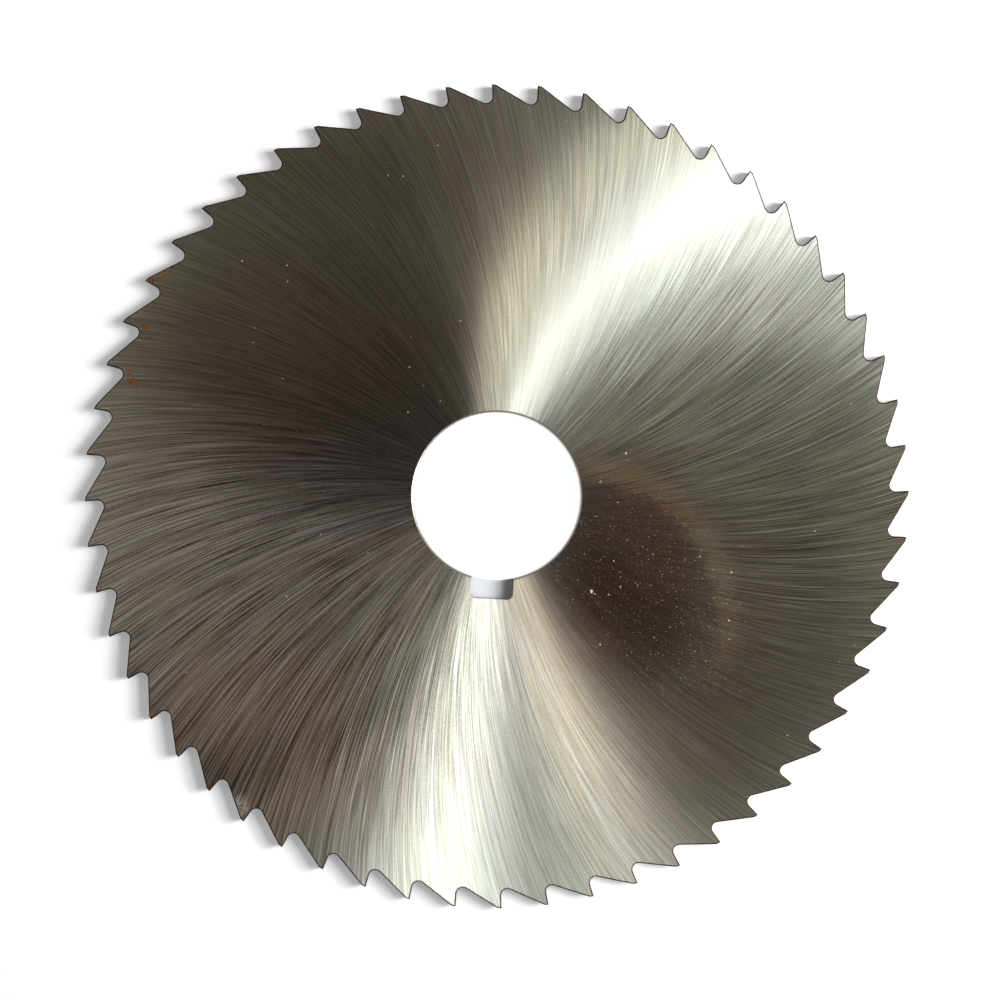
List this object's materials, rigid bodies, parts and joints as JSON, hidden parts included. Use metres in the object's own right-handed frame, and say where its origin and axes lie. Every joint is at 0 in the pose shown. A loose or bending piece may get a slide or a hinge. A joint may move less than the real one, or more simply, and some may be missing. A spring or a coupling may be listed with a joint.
{
  "type": "slitting saw",
  "caption": "Flat toothed steel disc for slitting metal on a milling arbor, with ground sides, a central bore and a keyway in it. It lies on one side.",
  "frame": {"origin": "on the bore's axis, at the level of the side that the blade lies on", "axes": "+Z along the bore's axis, up from the side that the blade lies on; -Y from the bore's axis through the middle of the keyway"},
  "size_m": [0.1248, 0.1248, 0.0033],
  "materials": {
    "ground_steel": "fine ground high-speed steel, with a little wear and a few rust specks at the teeth"
  },
  "bodies": {
    "root": {"saw_blade": "ground_steel"}
  },
  "joints": []
}
